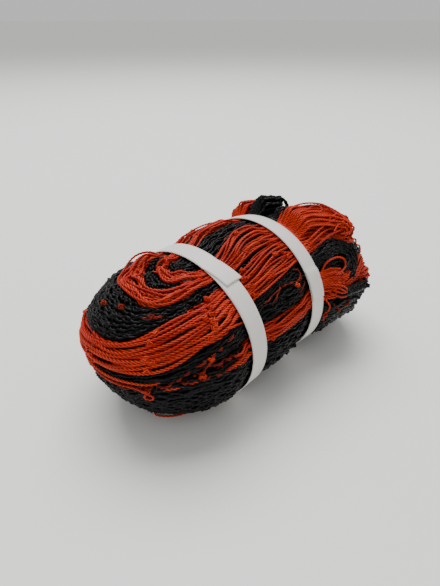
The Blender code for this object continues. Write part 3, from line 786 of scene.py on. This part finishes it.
# height of two strands that show along the foot of the hank, and their x and y in millimetres
FOOT_HEIGHT = 0.0013
FOOT_STRANDS = (
    ((-93, -9), (-106, -13), (-115, -22), (-112, -29), (-104, -35), (-92, -39), (-81, -38)),
    ((-83, -37), (-79, -43.5), (-69.5, -46), (-57, -46), (-47, -41)),
)
draw = np.random.default_rng(400)
strays, laced = [], []
for lace, points in STRAYS:
    line = surface_path(points, SAMPLES_PER_POINT * len(points))
    on_form = line[:, :2] * (1, math.radians(1) * FORM_RADIUS)
    along = np.cumsum(np.hypot(*np.gradient(on_form, axis=0).T))
    sway = LACE_SWAY * np.sin(along / LACE_LENGTH * LACE_SWAY_PACE)
    turns = along / LACE_LENGTH + draw.random() + sway
    sunk = lace * (0.5 - 0.5 * np.cos(2 * math.pi * turns)) * LACE_OVERSHOOT
    (laced if lace else strays).append(on_winding(line[:, 0], line[:, 1], line[:, 2] / 1000 - sunk))
for points in FOOT_STRANDS:
    points = np.array(points) / 1000
    at = np.linspace(0, len(points) - 1, SAMPLES_PER_POINT * len(points))
    strays.append(np.column_stack([
        through(points[:, 0], at), through(points[:, 1], at), np.full(len(at), FOOT_HEIGHT)]))
lay_cords("stray_cords", strays, orange_cord, False, seed=400,
          thickness=STRAY_THICKNESS)
# the laced strands take the darker copy of the orange: painted shade where they sink into the black
# bands
lay_cords("laced_cords", laced, shaded_orange_cord, False, seed=402, thickness=LACED_THICKNESS)
for name, material, knots in (("stray_knots", orange_cord, STRAY_KNOTS),
                              ("shaded_orange_knots", shaded_orange_cord, SHADED_KNOTS)):
    placed = []
    for station, elevation, lift in knots:
        centre, ahead = (
            on_winding(np.interp([(station + step) % STATION_COUNT], STATIONS, STATION_DISTANCE),
                       elevation, lift / 1000)[0] for step in (0, LONE_KNOT_STEP))
        placed.append(knot_line(centre, ahead - centre, draw))
    lay_cords(name, placed, material, False, spacing=KNOT_SPACING, seed=401,
              thickness=LONE_KNOT_THICKNESS)

# ---------------------------------------------------------------------------------------------
# The straps: two flat off-white plastic bands drawn tight round the hank, the ends of each
# lapped over one another on the front.
# ---------------------------------------------------------------------------------------------
strap_white = bpy.data.materials.new("strap_white")
strap_white.use_nodes = True
shader = strap_white.node_tree.nodes["Principled BSDF"]
shader.inputs["Roughness"].default_value = 0.42
shader.inputs["Specular IOR Level"].default_value = 0.35
nodes, links = strap_white.node_tree.nodes, strap_white.node_tree.links
place = nodes.new("ShaderNodeTexCoord")
drawn = nodes.new("ShaderNodeMapping")
drawn.inputs["Scale"].default_value = (5, 70, 1)
lines = nodes.new("ShaderNodeTexNoise")
lines.inputs["Scale"].default_value = 3
lines.inputs["Detail"].default_value = 4
ramp = nodes.new("ShaderNodeValToRGB")
ramp.color_ramp.elements[0].position, ramp.color_ramp.elements[1].position = 0.3, 0.7
ramp.color_ramp.elements[0].color = (0.70, 0.68, 0.63, 1)
ramp.color_ramp.elements[1].color = (0.80, 0.785, 0.745, 1)
bump = nodes.new("ShaderNodeBump")
bump.inputs["Strength"].default_value = 0.3
bump.inputs["Distance"].default_value = 0.00015
links.new(place.outputs["UV"], drawn.inputs["Vector"])
links.new(drawn.outputs["Vector"], lines.inputs["Vector"])
links.new(lines.outputs["Fac"], ramp.inputs["Fac"])
links.new(ramp.outputs["Color"], shader.inputs["Base Color"])
links.new(lines.outputs["Fac"], bump.inputs["Height"])
links.new(bump.outputs["Normal"], shader.inputs["Normal"])

# name, x, flat length, first and last elevation of the lap, how far its free end stands aside,
# and the elevation of its crease
STRAPS = (
    ("strap_near", NEAR_X, 0.457, 58, 72, 0.0030, 46),
    ("strap_far", FAR_X, 0.451, 14, 32, 0.0, 24),
)
STRAP_STEPS, STRAP_COLUMNS = 300, 8
# in degrees: how far both ends run past the lap, and where and how softly the outer end rises
LAP_OVERRUN, OUTER_START, OUTER_FADE = 2, 4, 3
OUTER_RISE = 1.05
CREASE_DEPTH, CREASE_WIDTH, CREASE_SLANT = 0.0004, 0.9, 2.5
LEAST_STRAP_HEIGHT = 0.0010
BAND_SHARE = 0.9        # the band's own thickness, as a share of the room kept for it
for name, strap_x, flat_length, lap_start, lap_end, lap_shift, crease in STRAPS:
    band = bmesh.new()
    band.loops.layers.uv.new("UVMap")
    bmesh.ops.create_grid(
        band, x_segments=STRAP_STEPS, y_segments=STRAP_COLUMNS, size=1.0, calc_uvs=True)
    overlap = lap_end - lap_start
    for vertex in band.verts:
        share, side = (vertex.co.x + 1) / 2, vertex.co.y
        turned = lap_end + 360 + LAP_OVERRUN - share * (360 + overlap + 2 * LAP_OVERRUN)
        outer = smooth_step((lap_end + OUTER_START - turned) / OUTER_FADE)
        x = strap_x + side * STRAP_WIDTH / 2 + outer * lap_shift * (lap_end - turned) / overlap
        half_width, half_height, middle, sag = (
            float(value[0]) for value in section_at(np.array([x])))
        tilt = math.radians(turned)
        across, rise = -math.cos(tilt) * half_width, math.sin(tilt) * half_height
        if rise < 0:
            rise *= 1 + sag / half_height
        from_crease = turned - crease - CREASE_SLANT * side
        folded = CREASE_DEPTH * math.exp(-(from_crease / CREASE_WIDTH) ** 2)
        height = -STRAP_THICKNESS + outer * STRAP_THICKNESS * OUTER_RISE - folded
        scale = 1 + height / math.hypot(across, rise)
        across, rise = across * scale, rise * scale
        vertex.co = (x + STRAP_SKEW * across, middle + across,
                     max(half_height + rise, LEAST_STRAP_HEIGHT))
    bmesh.ops.recalc_face_normals(band, faces=band.faces)
    mesh = bpy.data.meshes.new(name + "_band")
    band.to_mesh(mesh)
    band.free()
    mesh.shade_smooth()
    mesh.materials.append(strap_white)
    strap = linked(name + "_band", mesh)
    thick = strap.modifiers.new("thickness", "SOLIDIFY")
    thick.thickness = STRAP_THICKNESS * BAND_SHARE
    thick.offset = 1.0
    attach(strap, "root")
    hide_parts(name)

bpy.data.objects.remove(twine_section)

# ---------------------------------------------------------------------------------------------
# The studio: a pale floor, a broad soft lamp above and behind it on the right, and an even pale
# surround.
# ---------------------------------------------------------------------------------------------
FLOOR_HALF_SIZE = 60.0
LAMP_PLACE, LAMP_AIM = Vector((0.45, 0.95, 2.5)), Vector((0, 0, 0.05))
floor = bmesh.new()
bmesh.ops.create_grid(floor, x_segments=1, y_segments=1, size=FLOOR_HALF_SIZE)
floor_mesh = bpy.data.meshes.new("floor")
floor.to_mesh(floor_mesh)
floor.free()
floor_material = bpy.data.materials.new("pale_floor")
floor_material.use_nodes = True
shader = floor_material.node_tree.nodes["Principled BSDF"]
shader.inputs["Base Color"].default_value = (0.93, 0.93, 0.91, 1)
shader.inputs["Roughness"].default_value = 0.55
floor_mesh.materials.append(floor_material)
floor_piece = linked("floor", floor_mesh)

lamp = bpy.data.lights.new("soft_lamp", "AREA")
lamp.shape = "RECTANGLE"
lamp.size, lamp.size_y = 2.4, 2.0
lamp.energy = 88
lamp_piece = linked("soft_lamp", lamp)
lamp_piece.location = LAMP_PLACE
lamp_piece.rotation_euler = (LAMP_PLACE - LAMP_AIM).to_track_quat("Z", "Y").to_euler()
world = bpy.data.worlds.new("pale_surround")
world.use_nodes = True
world.node_tree.nodes["Background"].inputs["Color"].default_value = (0.79, 0.79, 0.78, 1)
world.node_tree.nodes["Background"].inputs["Strength"].default_value = 0.80
bpy.context.scene.world = world
